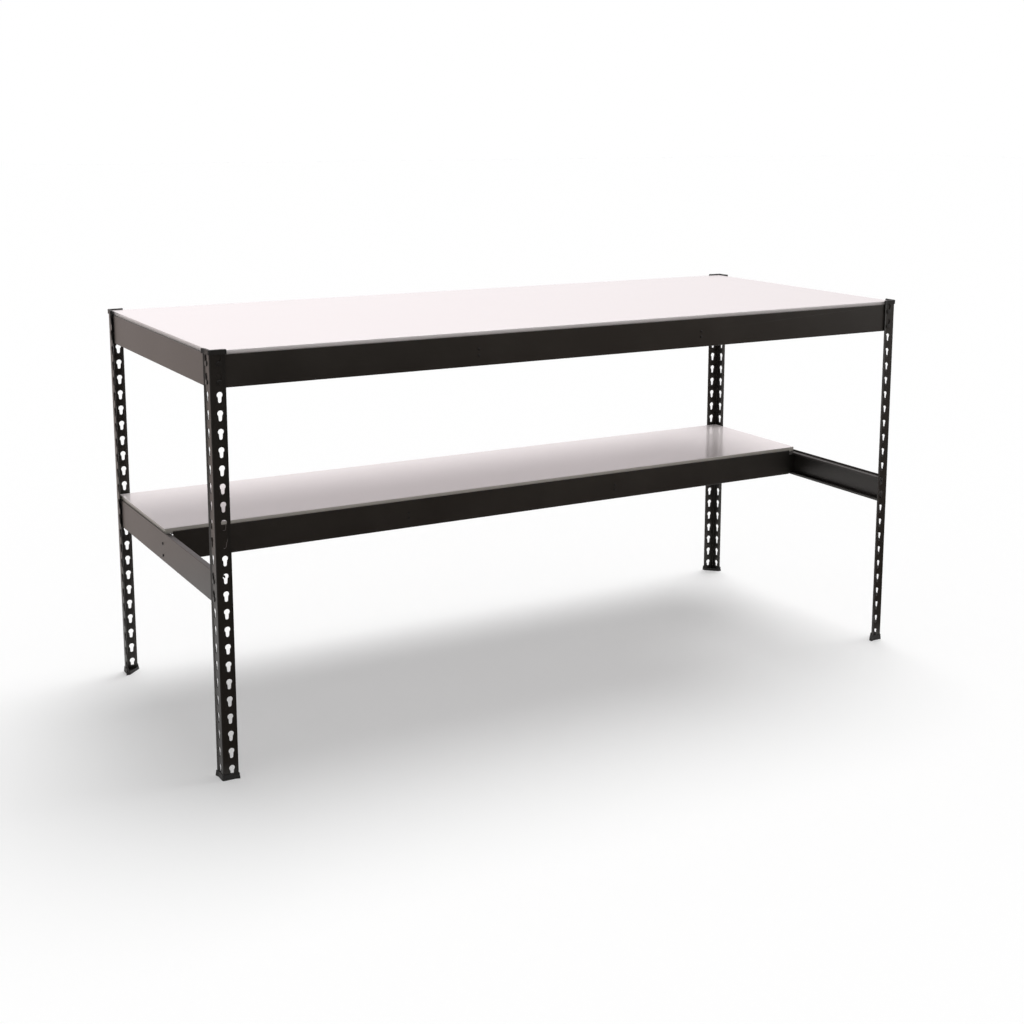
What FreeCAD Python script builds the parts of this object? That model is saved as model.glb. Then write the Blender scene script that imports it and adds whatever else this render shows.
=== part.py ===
import FreeCAD, Part
import math
import os

import Sketcher

# A boltless steel assembly table: four keyholed angle posts, rolled beams that hook into them by
# rivets, a full board on top and a half-depth shelf board below.
# X runs along the table, Y from front to back, Z up; the floor is Z = 0 and the origin is the
# middle of the footprint. Lengths are in millimetres, angles in degrees.

DRIVING_SIZES = {
    # the whole frame, over the posts' outer faces
    "frame_length": 1828.8,
    "frame_depth": 762.0,
    "post_length": 914.4,
    # angle posts and their keyholes, which are counted down from the post's top
    "post_flange": 33.0,
    "post_lip_start": 26.4,
    "post_lip_rise": 2.3,
    "post_sheet": 1.8,
    "post_bend": 3.0,
    "keyhole_pitch": 38.1,
    "keyhole_top_margin": 28.35,
    "keyhole_end_margin": 8.0,
    "keyhole_inset": 19.7,
    "keyhole_wide": 12.5,
    "keyhole_neck": 8.3,
    "keyhole_narrow": 7.2,
    "keyhole_drop": 12.9,
    # rolled beams
    "beam_depth": 69.0,
    "beam_width": 18.0,
    "beam_sheet": 1.5,
    "beam_bend": 2.0,
    "beam_lip": 4.5,
    "beam_return": 6.0,
    "beam_play": 0.2,
    "beam_end_gap": 0.5,
    "pitches_between_levels": 12,
    # hook rivets
    "rivet_rise": 12.05,
    "rivet_neck": 6.6,
    "rivet_head": 11.6,
    "rivet_head_thickness": 2.0,
    "rivet_tail": 10.0,
    "rivet_tail_thickness": 1.2,
    "rivet_play": 0.1,
    # boards
    "board_thickness": 12.7,
    "board_play": 0.8,
    "board_edge": 0.5,
    "shelf_depth": 375.2,
    # the shelf's front beam and its brackets
    "shelf_beam_gap": 4.4,
    "bracket_sheet": 2.0,
    "bracket_rise": 8.0,
    "bracket_height": 48.0,
    "bracket_side_leg": 17.0,
    "bracket_beam_leg": 46.5,
    "bracket_screw_inset": 7.8,
    "bracket_screw_rise": 14.0,
    "bracket_screw_pitch": 28.0,
    # tie bars
    "tie_offset": 301.5,
    "tie_width": 20.0,
    "tie_sheet": 1.5,
    "tie_rise": 17.0,
    "tie_tab_height": 28.0,
    "tie_play": 0.5,
    "tie_screw_rise": 24.3,
    "tie_screw_pitch": 13.2,
    # small screws and nuts
    "screw_shank": 4.0,
    "screw_hole_play": 0.1,
    "screw_head": 6.6,
    "screw_head_thickness": 1.9,
    "screw_tail": 2.5,
    "nut_flats": 7.0,
    "nut_thickness": 3.0,
    # plastic caps and feet
    "plastic_play": 0.1,
    "cap_wall": 2.0,
    "cap_inner_wall": 1.4,
    "cap_plate": 1.5,
    "cap_skirt": 9.0,
    "cap_corner": 4.5,
    "cap_edge": 0.8,
    "foot_sole": 2.5,
    "foot_height": 12.5,
    "foot_wall": 1.5,
    "foot_flare": 2.3,
    "foot_base": 7.0,
    "foot_taper": 4.0,
}


class Size:
    """A number with the sheet formula that gives it, so that sums of sizes stay bound to the sheet."""

    def __init__(self, value, formula):
        self.value = float(value)
        self.formula = formula

    def __add__(self, other):
        other = as_size(other)
        return Size(self.value + other.value, f"({self.formula} + {other.formula})")

    def __sub__(self, other):
        other = as_size(other)
        return Size(self.value - other.value, f"({self.formula} - {other.formula})")

    def __mul__(self, other):
        other = as_size(other)
        return Size(self.value * other.value, f"({self.formula} * {other.formula})")

    def __truediv__(self, other):
        other = as_size(other)
        return Size(self.value / other.value, f"({self.formula} / {other.formula})")

    def __neg__(self):
        return Size(-self.value, f"(0 - {self.formula})")

    __radd__ = __add__
    __rmul__ = __mul__


def as_size(number):
    """A Size as it is, or a plain number as a Size."""
    if isinstance(number, Size):
        return number
    return Size(number, repr(float(number)))


def whole(number):
    """The whole part of a Size."""
    return Size(math.floor(number.value), f"floor({number.formula})")


ORIGIN = as_size(0)
TURN_FULL = 360

doc = FreeCAD.newDocument("assembly_table")


def fill_sheet():
    """Put the driving sizes into the spreadsheet, and give each one as a Size by its name."""
    sheet = doc.addObject("Spreadsheet::Sheet", "sizes")
    named = {}
    for row, (name, number) in enumerate(DRIVING_SIZES.items(), start=1):
        sheet.set(f"A{row}", name)
        sheet.set(f"B{row}", str(number))
        sheet.setAlias(f"B{row}", name)
        named[name] = Size(number, f"sizes.{name}")
    doc.recompute()
    return named


size = fill_sheet()


# Sizes that follow from the driving ones and that several pieces share.

HALF_LENGTH = size["frame_length"] / 2
HALF_DEPTH = size["frame_depth"] / 2

# From a post's outer face inwards: the beam's outer face, its web's inner face, its lip and the board.
WEB_OUTSIDE = size["post_sheet"] + size["beam_play"]
WEB_INSIDE = WEB_OUTSIDE + size["beam_sheet"]
LIP_INSIDE = WEB_INSIDE + size["beam_sheet"]
BOARD_EDGE = LIP_INSIDE + size["board_play"]
BEAM_INSIDE = WEB_OUTSIDE + size["beam_width"]

# Up a beam from its bottom edge.
LEDGE = size["beam_depth"] - size["beam_lip"]
LEDGE_RETURN = LEDGE - size["beam_return"]

# Along a post, from its lower end: the reach of its column of keyholes, and the lowest one.
KEYHOLE_ROOM = size["post_length"] - size["keyhole_top_margin"] - size["keyhole_end_margin"]
KEYHOLE_STEPS = whole(KEYHOLE_ROOM / size["keyhole_pitch"])
KEYHOLE_REACH = size["keyhole_pitch"] * KEYHOLE_STEPS
LOWEST_KEYHOLE = size["post_length"] - size["keyhole_top_margin"] - KEYHOLE_REACH

# Up from the floor. A beam has a rivet in each of two keyholes; the top beams use the posts' top two.
POST_TOP = size["foot_sole"] + size["post_length"]
UPPER_RIVET = size["rivet_rise"] + size["keyhole_pitch"]
TOP_LEVEL = POST_TOP - size["keyhole_top_margin"] - UPPER_RIVET
LOWER_LEVEL = TOP_LEVEL - size["keyhole_pitch"] * size["pitches_between_levels"]

SHELF_FRONT = HALF_DEPTH - BOARD_EDGE - size["shelf_depth"]
SHELF_BEAM_FACE = SHELF_FRONT - size["board_play"] - size["beam_sheet"] * 2


# Helpers for bodies, sketches and features.

def new_body(name, many=False):
    """A body whose label is the sub-part's name; many lets it hold separate solids."""
    body = doc.addObject("PartDesign::Body", name)
    body.Label = name
    body.AllowCompound = many
    return body


def origin_feature(body, role):
    """The body's own origin plane or axis with this role."""
    return next(item for item in body.Origin.OriginFeatures if item.Role == role)


def place(body, x, y, z, turn=0):
    """Turn a body about Z and bind its place to the sheet."""
    spot = FreeCAD.Vector(as_size(x).value, as_size(y).value, as_size(z).value)
    body.Placement = FreeCAD.Placement(spot, FreeCAD.Rotation(FreeCAD.Vector(0, 0, 1), turn))
    for axis, number in (("x", x), ("y", y), ("z", z)):
        body.setExpression(f"Placement.Base.{axis}", as_size(number).formula)


def new_sketch(body, name, role, lift=ORIGIN):
    """A sketch on one of the body's origin planes, lifted along the plane's normal."""
    sketch = body.newObject("Sketcher::SketchObject", name)
    sketch.AttachmentSupport = [(origin_feature(body, role), "")]
    sketch.MapMode = "FlatFace"
    sketch.AttachmentOffset = FreeCAD.Placement(
        FreeCAD.Vector(0, 0, as_size(lift).value), FreeCAD.Rotation())
    sketch.setExpression("AttachmentOffset.Base.z", as_size(lift).formula)
    return sketch


def bind(sketch, kind, *where, to):
    """Add a dimension to a sketch and bind it to a Size."""
    to = as_size(to)
    index = sketch.addConstraint(Sketcher.Constraint(kind, *where, to.value))
    sketch.setExpression(f"Constraints[{index}]", to.formula)


def bind_point(sketch, geometry, end, x, y):
    """Fix a point of a sketch at x, y from its origin."""
    bind(sketch, "DistanceX", -1, 1, geometry, end, to=x)
    bind(sketch, "DistanceY", -1, 1, geometry, end, to=y)


def direction(start, finish):
    """Unit step along an edge that runs along one of the sketch's axes."""
    across = finish[0].value - start[0].value
    up = finish[1].value - start[1].value
    length = math.hypot(across, up)
    return across / length, up / length


def outline(sketch, corners):
    """A closed outline through corners (x, y) or (x, y, radius); round ones join square edges."""
    points = []
    for number, corner in enumerate(corners):
        here = (as_size(corner[0]), as_size(corner[1]))
        if len(corner) == 2:
            points.append((here, None, None))
            continue
        before = corners[number - 1]
        after = corners[(number + 1) % len(corners)]
        radius = as_size(corner[2])
        arriving = direction((as_size(before[0]), as_size(before[1])), here)
        leaving = direction(here, (as_size(after[0]), as_size(after[1])))
        first = tuple(here[axis] - radius * arriving[axis] for axis in (0, 1))
        last = tuple(here[axis] + radius * leaving[axis] for axis in (0, 1))
        centre = tuple(first[axis] + radius * leaving[axis] for axis in (0, 1))
        left_turn = arriving[0] * leaving[1] - arriving[1] * leaving[0] > 0
        points.append((first, radius, (centre, left_turn)))
        points.append((last, None, None))
    draw_edges(sketch, points)


def draw_edges(sketch, points):
    """Draw and bind the lines and arcs between an outline's points, in order."""
    count = len(points)
    ends = []
    for number, (here, radius, bend) in enumerate(points):
        there = points[(number + 1) % count][0]
        if bend is None:
            edge = sketch.addGeometry(Part.LineSegment(flat(here), flat(there)), False)
            ends.append((edge, 1, 2))
            continue
        centre, left_turn = bend
        start, finish = (here, there) if left_turn else (there, here)
        circle = Part.Circle(flat(centre), FreeCAD.Vector(0, 0, 1), radius.value)
        arc = Part.ArcOfCircle(circle, angle_of(centre, start), angle_of(centre, finish))
        edge = sketch.addGeometry(arc, False)
        ends.append((edge, 1, 2) if left_turn else (edge, 2, 1))
    for number, (here, radius, bend) in enumerate(points):
        edge, start, finish = ends[number]
        next_edge, next_start, _ = ends[(number + 1) % count]
        sketch.addConstraint(Sketcher.Constraint("Coincident", edge, finish, next_edge, next_start))
        bind_point(sketch, edge, start, here[0], here[1])
        if bend is not None:
            bind(sketch, "Radius", edge, to=radius)


def flat(point):
    """A sketch point as a vector."""
    return FreeCAD.Vector(point[0].value, point[1].value, 0)


def angle_of(centre, point):
    """Angle of a point seen from a centre, in radians."""
    return math.atan2(point[1].value - centre[1].value, point[0].value - centre[0].value)


def rectangle(sketch, left, bottom, right, top):
    """A rectangle between two opposite corners."""
    outline(sketch, [(left, bottom), (right, bottom), (right, top), (left, top)])


def round_hole(sketch, x, y, diameter):
    """A circle at x, y."""
    centre = FreeCAD.Vector(as_size(x).value, as_size(y).value, 0)
    circle = Part.Circle(centre, FreeCAD.Vector(0, 0, 1), as_size(diameter).value / 2)
    edge = sketch.addGeometry(circle, False)
    bind_point(sketch, edge, 3, x, y)
    bind(sketch, "Diameter", edge, to=diameter)


def extrude(body, kind, name, sketch, length=None, reverse=False, both_ways=False):
    """A Pad or Pocket of a sketch by a length, or through everything where no length is given."""
    feature = body.newObject(f"PartDesign::{kind}", name)
    feature.Profile = sketch
    feature.Reversed = reverse
    feature.Midplane = both_ways
    if length is None:
        feature.Type = "ThroughAll"
    else:
        feature.Length = length.value
        feature.setExpression("Length", length.formula)
    body.Tip = feature
    return feature


def repeat_along(body, name, role, reach, count, original=None):
    """Repeat a feature, or the whole body where none is given, along one of the body's axes."""
    pattern = body.newObject("PartDesign::LinearPattern", name)
    if original is None:
        pattern.TransformMode = "Whole shape"
    else:
        pattern.Originals = [original]
    pattern.Direction = (origin_feature(body, role), [""])
    pattern.Length = reach.value
    pattern.setExpression("Length", reach.formula)
    pattern.Occurrences = int(as_size(count).value)
    pattern.setExpression("Occurrences", as_size(count).formula)
    body.Tip = pattern
    return pattern


def mirror_whole(body, name, role):
    """Add the mirror image of the whole body across one of its planes."""
    mirrored = body.newObject("PartDesign::Mirrored", name)
    mirrored.TransformMode = "Whole shape"
    mirrored.MirrorPlane = (origin_feature(body, role), [""])
    body.Tip = mirrored
    return mirrored


def turned(body, name, sketch, axis_height, steps):
    """Turn a stepped pin about a line along the sketch's first axis; steps are (from, to, radius, round)."""
    corners = [(steps[0][0], axis_height)]
    for start, finish, radius, rounding in steps:
        rounded_start = (start, axis_height + radius)
        rounded_finish = (finish, axis_height + radius)
        if rounding == "start":
            rounded_start += (radius * PIN_ROUNDING,)
        if rounding == "finish":
            rounded_finish += (radius * PIN_ROUNDING,)
        corners += [rounded_start, rounded_finish]
    corners.append((steps[-1][1], axis_height))
    outline(sketch, corners)
    spindle = Part.LineSegment(flat((as_size(steps[0][0]), as_size(axis_height))),
                               flat((as_size(steps[-1][1]), as_size(axis_height))))
    axis_line = sketch.addGeometry(spindle, True)
    bind_point(sketch, axis_line, 1, steps[0][0], axis_height)
    bind_point(sketch, axis_line, 2, steps[-1][1], axis_height)
    feature = body.newObject("PartDesign::Revolution", name)
    feature.Profile = sketch
    feature.ReferenceAxis = (sketch, ["Axis0"])
    feature.Angle = TURN_FULL
    body.Tip = feature
    return feature


# A turned head's edge is rounded by this share of its own radius.
PIN_ROUNDING = 0.22


# The posts with their caps and feet. Each is drawn with the post's outer corner at its origin and
# the flanges along +X and +Y, and is turned to its corner of the table.

CORNERS = {
    "front_left": (-HALF_LENGTH, -HALF_DEPTH, 0),
    "front_right": (HALF_LENGTH, -HALF_DEPTH, 90),
    "back_right": (HALF_LENGTH, HALF_DEPTH, 180),
    "back_left": (-HALF_LENGTH, HALF_DEPTH, 270),
}

# How far the flanges' flared edges lean outwards for each millimetre of their width.
LIP_SLOPE = size["post_lip_rise"] / (size["post_flange"] - size["post_lip_start"])


def lipped_angle(sketch, proud, inner, outer_round, inner_round=None):
    """An L with flared edges: it stands this far proud of the post's outer faces and past its edges,
    and its inner faces are this far in from the post's outer ones."""
    lip = size["post_lip_start"]
    end = size["post_flange"] + proud
    lean = LIP_SLOPE * (end - lip)
    elbow = (inner, inner) if inner_round is None else (inner, inner, inner_round)
    outline(sketch, [
        (-proud, -proud, outer_round),
        (lip, -proud),
        (end, -proud - lean),
        (end, inner - lean),
        (lip, inner),
        elbow,
        (inner, lip),
        (inner - lean, end),
        (-proud - lean, end),
        (-proud, lip),
    ])


def keyhole(sketch):
    """One keyhole at the lowest place: a round hole over a slot that ends in a half circle."""
    across = size["keyhole_inset"]
    narrow_up = LOWEST_KEYHOLE
    wide_up = narrow_up + size["keyhole_drop"]
    wide_radius = size["keyhole_wide"] / 2
    narrow_radius = size["keyhole_narrow"] / 2
    neck = size["keyhole_neck"] / 2
    normal = FreeCAD.Vector(0, 0, 1)
    up = FreeCAD.Vector(0, 1, 0)
    aside = FreeCAD.Vector(1, 0, 0)
    wide_centre = flat((across, wide_up))
    narrow_centre = flat((across, narrow_up))
    neck_fall = math.sqrt(wide_radius.value ** 2 - neck.value ** 2)
    neck_middle = wide_centre - up * neck_fall
    neck_turn = math.asin(neck.value / wide_radius.value)
    straight_down = -math.pi / 2
    wide = sketch.addGeometry(
        Part.ArcOfCircle(Part.Circle(wide_centre, normal, wide_radius.value),
                         straight_down + neck_turn, straight_down + 2 * math.pi - neck_turn), False)
    left = sketch.addGeometry(
        Part.LineSegment(neck_middle - aside * neck.value,
                         narrow_centre - aside * narrow_radius.value), False)
    narrow = sketch.addGeometry(
        Part.ArcOfCircle(Part.Circle(narrow_centre, normal, narrow_radius.value),
                         math.pi, 2 * math.pi), False)
    right = sketch.addGeometry(
        Part.LineSegment(narrow_centre + aside * narrow_radius.value,
                         neck_middle + aside * neck.value), False)
    for first, second in ((wide, left), (left, narrow), (narrow, right), (right, wide)):
        sketch.addConstraint(Sketcher.Constraint("Coincident", first, 2, second, 1))
    bind_point(sketch, wide, 3, across, wide_up)
    bind_point(sketch, narrow, 3, across, narrow_up)
    bind(sketch, "Radius", wide, to=wide_radius)
    bind(sketch, "Radius", narrow, to=narrow_radius)
    bind(sketch, "DistanceX", -1, 1, left, 1, to=across - neck)
    bind(sketch, "DistanceX", -1, 1, right, 2, to=across + neck)
    bind(sketch, "DistanceY", -1, 1, narrow, 1, to=narrow_up)
    bind(sketch, "DistanceY", -1, 1, narrow, 2, to=narrow_up)


def make_post(corner):
    """An angle post with flared edges and a column of keyholes in each flange."""
    body = new_body(f"{corner}_post")
    section = new_sketch(body, f"{corner}_post_section", "XY_Plane")
    sheet = size["post_sheet"]
    lipped_angle(section, ORIGIN, sheet, size["post_bend"], size["post_bend"] - sheet)
    extrude(body, "Pad", f"{corner}_post_angle", section, size["post_length"])
    for axis, role, reverse in (("x", "XZ_Plane", False), ("y", "YZ_Plane", True)):
        name = f"{corner}_{axis}_flange"
        sketch = new_sketch(body, f"{name}_keyhole", role)
        keyhole(sketch)
        cut = extrude(body, "Pocket", f"{name}_cut", sketch, reverse=reverse)
        repeat_along(body, f"{name}_keyholes", "Z_Axis", KEYHOLE_REACH, KEYHOLE_STEPS + 1, cut)
    x, y, turn = CORNERS[corner]
    place(body, x, y, size["foot_sole"], turn)
    return body


def post_slot(sketch):
    """The angle-shaped slot in a cap or foot that the post's end pushes into."""
    play = size["plastic_play"]
    inner = size["post_sheet"] + play
    lipped_angle(sketch, play, inner, size["post_bend"] + play, size["post_bend"] - inner)


def make_cap(corner):
    """A plastic cap that closes the post's top."""
    body = new_body(f"{corner}_cap")
    proud = size["cap_wall"] + size["plastic_play"]
    inner = size["post_sheet"] + size["plastic_play"] + size["cap_inner_wall"]
    block = new_sketch(body, f"{corner}_cap_outline", "XY_Plane")
    lipped_angle(block, proud, inner, size["cap_corner"])
    pad = extrude(body, "Pad", f"{corner}_cap_block", block, size["cap_skirt"] + size["cap_plate"])
    doc.recompute()
    top = size["cap_skirt"].value + size["cap_plate"].value
    rim = [f"Edge{number}" for number, edge in enumerate(pad.Shape.Edges, start=1)
           if all(abs(vertex.Z - top) < 1e-6 for vertex in edge.Vertexes)]
    bevel = body.newObject("PartDesign::Chamfer", f"{corner}_cap_bevel")
    bevel.Base = (pad, rim)
    bevel.Size = size["cap_edge"].value
    bevel.setExpression("Size", size["cap_edge"].formula)
    body.Tip = bevel
    slot = new_sketch(body, f"{corner}_cap_slot", "XY_Plane")
    post_slot(slot)
    extrude(body, "Pocket", f"{corner}_cap_hollow", slot, size["cap_skirt"], reverse=True)
    x, y, turn = CORNERS[corner]
    place(body, x, y, POST_TOP - size["cap_skirt"], turn)
    return body


def make_foot(corner):
    """A plastic foot: an angle-shaped socket on a wider triangular base with an open tray."""
    body = new_body(f"{corner}_foot")
    wall = size["foot_wall"]
    flare = size["foot_flare"]
    proud = size["plastic_play"] + wall
    inner = size["post_sheet"] + proud
    arm_side = inner + flare - wall
    lip = size["post_lip_start"]
    end = size["post_flange"] + size["plastic_play"] + flare
    lean = LIP_SLOPE * (end - lip)
    base = new_sketch(body, f"{corner}_foot_base_outline", "XY_Plane")
    outline(base, [
        (-flare, -flare, size["cap_corner"]),
        (lip, -flare),
        (end, -flare - lean),
        (end, arm_side),
        (arm_side, end),
        (-flare - lean, end),
        (-flare, lip),
    ])
    flared = extrude(body, "Pad", f"{corner}_foot_base", base, size["foot_base"])
    flared.TaperAngle = -size["foot_taper"].value
    flared.setExpression("TaperAngle", f"0 - {size['foot_taper'].formula}")
    socket = new_sketch(body, f"{corner}_foot_socket_outline", "XY_Plane")
    lipped_angle(socket, proud, inner, size["cap_corner"])
    extrude(body, "Pad", f"{corner}_foot_socket", socket, size["foot_height"])
    slot = new_sketch(body, f"{corner}_foot_slot", "XY_Plane", size["foot_sole"])
    post_slot(slot)
    extrude(body, "Pocket", f"{corner}_foot_hollow", slot, reverse=True)
    tray = new_sketch(body, f"{corner}_foot_tray", "XY_Plane", size["foot_sole"])
    inset = flare + wall
    tray_end = end - inset
    tray_side = arm_side + inset - wall * 2
    outline(tray, [
        (inner, inner),
        (tray_end, inner),
        (tray_end, tray_side),
        (tray_side, tray_end),
        (inner, tray_end),
    ])
    extrude(body, "Pocket", f"{corner}_foot_tray_hollow", tray, reverse=True)
    x, y, turn = CORNERS[corner]
    place(body, x, y, 0, turn)
    return body


# Rolled beams. Each is drawn with its length along X about the middle, the web's outer face at
# Y = 0, the ledge towards +Y and its bottom edge at Z = 0, and is turned to its side of the table.

SIDES = {
    "front": (ORIGIN, WEB_OUTSIDE - HALF_DEPTH, 0),
    "right": (HALF_LENGTH - WEB_OUTSIDE, ORIGIN, 90),
    "back": (ORIGIN, HALF_DEPTH - WEB_OUTSIDE, 180),
    "left": (WEB_OUTSIDE - HALF_LENGTH, ORIGIN, 270),
}

# A side beam's web runs in front of the bend of the posts' corners; a long beam's web stops at it.
SIDE_BEAM_START = size["post_bend"]
LONG_BEAM_START = WEB_INSIDE + size["beam_end_gap"]

SIDE_BEAM_HALF = HALF_DEPTH - SIDE_BEAM_START
LONG_BEAM_HALF = HALF_LENGTH - LONG_BEAM_START
SHELF_BEAM_HALF = HALF_LENGTH - BEAM_INSIDE - size["shelf_beam_gap"]

# The ledge, lip and bottom flange stop short of the web's end, clear of the beam round the corner.
SIDE_NOTCH = LONG_BEAM_START - SIDE_BEAM_START
LONG_NOTCH = BEAM_INSIDE + size["beam_end_gap"] - LONG_BEAM_START

RIVET_HEIGHTS = (size["rivet_rise"], UPPER_RIVET)
TIE_SCREW_HEIGHTS = (size["tie_screw_rise"], size["tie_screw_rise"] + size["tie_screw_pitch"])
BRACKET_SCREW_HEIGHTS = (size["bracket_screw_rise"],
                         size["bracket_screw_rise"] + size["bracket_screw_pitch"])
BRACKET_SCREW_Y = SHELF_BEAM_FACE + size["beam_sheet"] + size["bracket_screw_inset"]
RIVET_HOLE = size["rivet_neck"] + size["rivet_play"]
SCREW_HOLE = size["screw_shank"] + size["screw_hole_play"]


def beam_section(sketch):
    """A channel with a folded lip above its ledge and returns at both free edges."""
    sheet = size["beam_sheet"]
    width = size["beam_width"]
    bend = size["beam_bend"]
    inner_bend = bend - sheet
    outline(sketch, [
        (ORIGIN, ORIGIN, bend),
        (width, ORIGIN, bend),
        (width, size["beam_return"]),
        (width - sheet, size["beam_return"]),
        (width - sheet, sheet, inner_bend),
        (sheet, sheet, inner_bend),
        (sheet, LEDGE - sheet),
        (width - sheet, LEDGE - sheet, inner_bend),
        (width - sheet, LEDGE_RETURN),
        (width, LEDGE_RETURN),
        (width, LEDGE, bend),
        (sheet * 2, LEDGE),
        (sheet * 2, size["beam_depth"], sheet * LIP_ROUNDING),
        (ORIGIN, size["beam_depth"], sheet * LIP_ROUNDING),
    ])


# The lip is the sheet folded back on itself, so its top is nearly a half circle.
LIP_ROUNDING = 0.9


def web_holes(sketch, places):
    """Round holes in a beam's web; places are (x, height, diameter)."""
    for x, height, diameter in places:
        round_hole(sketch, x, height, diameter)


def make_beam(name, half, notch, holes):
    """A rolled beam with its ends notched to the web and its holes punched."""
    body = new_body(name)
    section = new_sketch(body, f"{name}_section", "YZ_Plane")
    beam_section(section)
    extrude(body, "Pad", f"{name}_roll", section, half * 2, both_ways=True)
    if notch is not None:
        ends = new_sketch(body, f"{name}_notches", "XY_Plane")
        for side in (-1, 1):
            near = (half - notch) * side
            far = (half + notch) * side
            rectangle(ends, near, size["beam_sheet"], far, size["beam_width"] * 2)
        extrude(body, "Pocket", f"{name}_notching", ends, reverse=True)
    punched = new_sketch(body, f"{name}_hole_places", "XZ_Plane")
    web_holes(punched, holes)
    extrude(body, "Pocket", f"{name}_holes", punched, size["beam_sheet"] * 2)
    return body


def rivet_holes(half, start):
    """Places of the hook rivets at both ends of a beam that starts this far from the post's face."""
    reach = half + start - size["keyhole_inset"]
    return [(reach * side, height, RIVET_HOLE) for side in (-1, 1) for height in RIVET_HEIGHTS]


def tie_holes():
    """Places of the tie bars' screws along a long beam."""
    return [(size["tie_offset"] * side, height, SCREW_HOLE)
            for side in (-1, 1) for height in TIE_SCREW_HEIGHTS]


def bracket_holes(side):
    """Places of the shelf bracket's screws in a side beam, which is turned to the left or right."""
    along = -BRACKET_SCREW_Y if side == "left" else BRACKET_SCREW_Y
    return [(along, height, SCREW_HOLE) for height in BRACKET_SCREW_HEIGHTS]


def make_rivets(name, half, start):
    """The four rivets that hook one beam into its posts: head outside the flange, tail inside the web."""
    body = new_body(name, many=True)
    head_seat = -WEB_OUTSIDE - size["rivet_play"]
    sheet = size["beam_sheet"]
    sketch = new_sketch(body, f"{name}_profile", "YZ_Plane", half + start - size["keyhole_inset"])
    turned(body, f"{name}_first", sketch, size["rivet_rise"], [
        (head_seat - size["rivet_head_thickness"], head_seat, size["rivet_head"] / 2, "start"),
        (head_seat, sheet, size["rivet_neck"] / 2, None),
        (sheet, sheet + size["rivet_tail_thickness"], size["rivet_tail"] / 2, None),
    ])
    repeat_along(body, f"{name}_pair", "Z_Axis", size["keyhole_pitch"], 2)
    mirror_whole(body, f"{name}_other_end", "YZ_Plane")
    return body


def make_hooked_beams(level_name, level, sides):
    """The beams of one level that hook into the posts, each with its rivets."""
    made = []
    for side in sides:
        long_beam = side in ("front", "back")
        half = LONG_BEAM_HALF if long_beam else SIDE_BEAM_HALF
        start = LONG_BEAM_START if long_beam else SIDE_BEAM_START
        holes = rivet_holes(half, start)
        if long_beam:
            holes += tie_holes()
        elif level_name == "lower":
            holes += bracket_holes(side)
        beam = make_beam(f"{level_name}_{side}_beam", half, LONG_NOTCH if long_beam else SIDE_NOTCH, holes)
        rivets = make_rivets(f"{level_name}_{side}_rivets", half, start)
        x, y, turn = SIDES[side]
        place(beam, x, y, level, turn)
        place(rivets, x, y, level, turn)
        made += [beam, rivets]
    return made


def make_shelf_beam():
    """The beam at mid-depth under the shelf's front edge."""
    body = make_beam("shelf_front_beam", SHELF_BEAM_HALF, None, tie_holes())
    place(body, 0, SHELF_BEAM_FACE, LOWER_LEVEL)
    return body


# Brackets that hang the shelf's front beam between the side beams. Each is drawn with its bent
# corner at the origin and its legs along Y and towards the middle of the table.

def make_bracket(side, inwards):
    """An angle bracket: one leg on the side beam's web, the other welded behind the shelf beam's web."""
    name = f"shelf_{side}_bracket"
    body = new_body(name)
    sheet = size["bracket_sheet"]
    side_leg = size["bracket_side_leg"]
    beam_leg = size["bracket_beam_leg"]
    section = new_sketch(body, f"{name}_section", "XY_Plane")
    outline(section, [
        (ORIGIN, ORIGIN),
        (beam_leg * inwards, ORIGIN),
        (beam_leg * inwards, sheet),
        (sheet * inwards, sheet),
        (sheet * inwards, side_leg),
        (ORIGIN, side_leg),
    ])
    extrude(body, "Pad", f"{name}_angle", section, size["bracket_height"])
    punched = new_sketch(body, f"{name}_hole_places", "YZ_Plane")
    for height in BRACKET_SCREW_HEIGHTS:
        round_hole(punched, size["bracket_screw_inset"], height - size["bracket_rise"], SCREW_HOLE)
    extrude(body, "Pocket", f"{name}_holes", punched, sheet * 2, both_ways=True)
    place(body, (WEB_INSIDE - HALF_LENGTH) * inwards, SHELF_BEAM_FACE + size["beam_sheet"],
          LOWER_LEVEL + size["bracket_rise"])
    return body


def make_bracket_screws(side, inwards):
    """Two screws through the side beam's web and the bracket, heads outside."""
    name = f"shelf_{side}_bracket_screws"
    body = new_body(name, many=True)
    sketch = new_sketch(body, f"{name}_profile", "XZ_Plane")
    grip = size["beam_sheet"] + size["bracket_sheet"] + size["nut_thickness"]
    turned(body, f"{name}_first", sketch, size["bracket_screw_rise"], [
        (-size["screw_head_thickness"] * inwards, ORIGIN, size["screw_head"] / 2, "start"),
        (ORIGIN, (grip + size["screw_tail"]) * inwards, size["screw_shank"] / 2, None),
    ])
    repeat_along(body, f"{name}_pair", "Z_Axis", size["bracket_screw_pitch"], 2)
    place(body, (WEB_OUTSIDE - HALF_LENGTH) * inwards, BRACKET_SCREW_Y, LOWER_LEVEL)
    return body


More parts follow.
